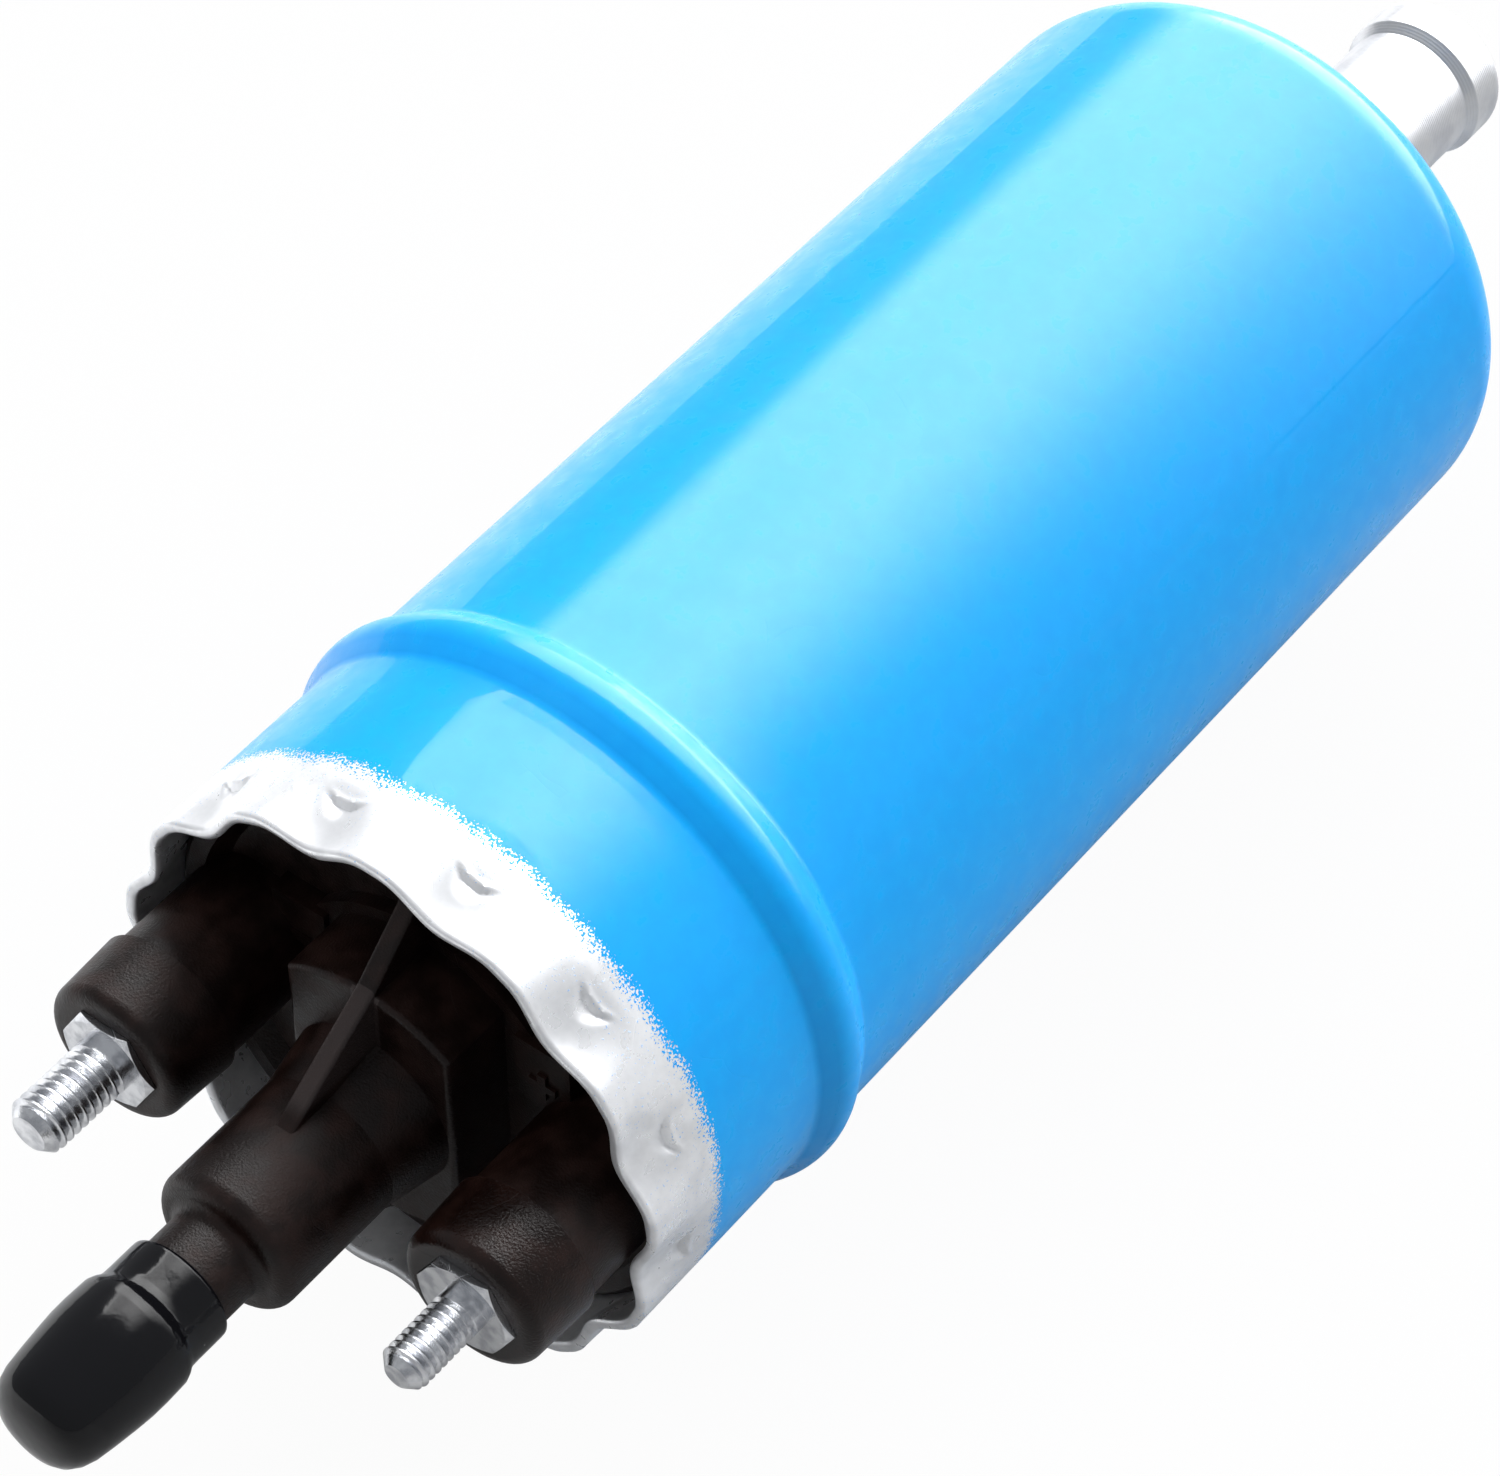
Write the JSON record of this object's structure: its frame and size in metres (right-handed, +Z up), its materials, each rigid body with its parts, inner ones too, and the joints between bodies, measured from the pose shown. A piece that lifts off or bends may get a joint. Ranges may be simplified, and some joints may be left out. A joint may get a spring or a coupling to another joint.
{
  "type": "inline electric fuel pump",
  "caption": "Inline electric fuel pump: crimped blue steel can, dark moulded outlet cap with threaded terminals and a capped hose port, aluminium inlet spigot.",
  "frame": {"origin": "on the pump's axis, in the middle of the plain stretch of can that a clamp band holds", "axes": "+X along the pump from the outlet end to the inlet spigot, the two terminals along Y (minus at +Y, plus at -Y), +Z up"},
  "size_m": [0.1876, 0.0546, 0.0546],
  "materials": {
    "blue_paint": "gloss paint over a drawn steel can, bare at the crimped mouth",
    "dark_plastic": "fine-grained moulded plastic",
    "black_vinyl": "glossy soft vinyl",
    "plated_steel": "bright plating",
    "steel": "ground steel",
    "sintered_iron": "sintered and ground",
    "aluminium": "satin casting",
    "brass": "turned or stamped",
    "copper": "copper, its density taken as brass",
    "bronze": "oil-filled sintered bronze",
    "seal_rubber": "matt fuel-proof rubber",
    "ferrite": "dark ground ferrite",
    "carbon": "copper-bearing carbon",
    "holder_plastic": "natural nylon"
  },
  "bodies": {
    "housing": {"housing_shell": "blue_paint", "end_cap": "dark_plastic", "cap_o_ring": "seal_rubber", "terminal_stud_m5": "plated_steel", "terminal_stud_m4": "plated_steel", "terminal_seal_m5": "seal_rubber", "terminal_seal_m4": "seal_rubber", "check_valve_seat": "brass", "check_valve_spring": "steel", "brush_holder": "holder_plastic", "front_bush": "bronze", "contact_strap_minus": "brass", "contact_strap_plus": "brass", "brush_spring_minus": "steel", "brush_spring_plus": "steel", "brush_shunt_minus": "copper", "brush_shunt_plus": "copper", "flux_ring": "steel", "magnet_upper": "ferrite", "magnet_lower": "ferrite", "magnet_clips": "steel", "rear_bush": "bronze", "pump_outlet_plate": "sintered_iron", "pump_ring": "sintered_iron", "pump_inlet_plate": "sintered_iron", "pump_screws": "steel", "inlet_cover": "aluminium", "cover_o_ring": "seal_rubber", "inlet_strainer": "steel", "relief_spring": "steel"},
    "armature": {"armature_shaft": "steel", "commutator_hub": "dark_plastic", "commutator": "copper", "armature_core": "steel", "armature_windings": "copper", "thrust_washers": "holder_plastic", "inner_rotor": "sintered_iron"},
    "outer_rotor": {"outer_rotor": "sintered_iron"},
    "check_poppet": {"check_valve_poppet": "holder_plastic"},
    "relief_ball": {"relief_ball": "steel"},
    "minus_brush": {"brush_minus": "carbon"},
    "plus_brush": {"brush_plus": "carbon"},
    "transit_cap": {"outlet_cap": "black_vinyl"}
  },
  "joints": [
    {"name": "armature_spin", "type": "hinge", "parent": "housing", "child": "armature", "pos_m": [0, 0, 0], "axis": [1, 0, 0], "continuous": true},
    {"name": "outer_rotor_spin", "type": "hinge", "parent": "housing", "child": "outer_rotor", "pos_m": [0.021, 0, 0.0016], "axis": [1, 0, 0], "continuous": true},
    {"name": "check_valve_lift", "type": "slide", "parent": "housing", "child": "check_poppet", "axis": [-1, 0, 0], "range_m": [0, 0.002], "stiffness_N_per_m": 150, "springref_m": -0.002, "deforming": ["check_valve_spring"]},
    {"name": "relief_valve_lift", "type": "slide", "parent": "housing", "child": "relief_ball", "axis": [1, 0, 0], "range_m": [0, 0.0015], "stiffness_N_per_m": 1500, "springref_m": -0.002, "deforming": ["relief_spring"]},
    {"name": "minus_brush_slide", "type": "slide", "parent": "housing", "child": "minus_brush", "axis": [0, 0, 1], "range_m": [0, 0.0025], "stiffness_N_per_m": 200, "springref_m": -0.004, "deforming": ["brush_spring_minus", "brush_shunt_minus"]},
    {"name": "plus_brush_slide", "type": "slide", "parent": "housing", "child": "plus_brush", "axis": [0, 0, -1], "range_m": [0, 0.0025], "stiffness_N_per_m": 200, "springref_m": -0.004, "deforming": ["brush_spring_plus", "brush_shunt_plus"]},
    {"name": "transit_cap_pull", "type": "slide", "parent": "housing", "child": "transit_cap", "axis": [-1, 0, 0], "range_m": [0, 0.02], "deforming": ["outlet_cap"]}
  ],
  "couplings": [
    {"joint": "outer_rotor_spin", "follows": "armature_spin", "ratio": 0.85714}
  ]
}
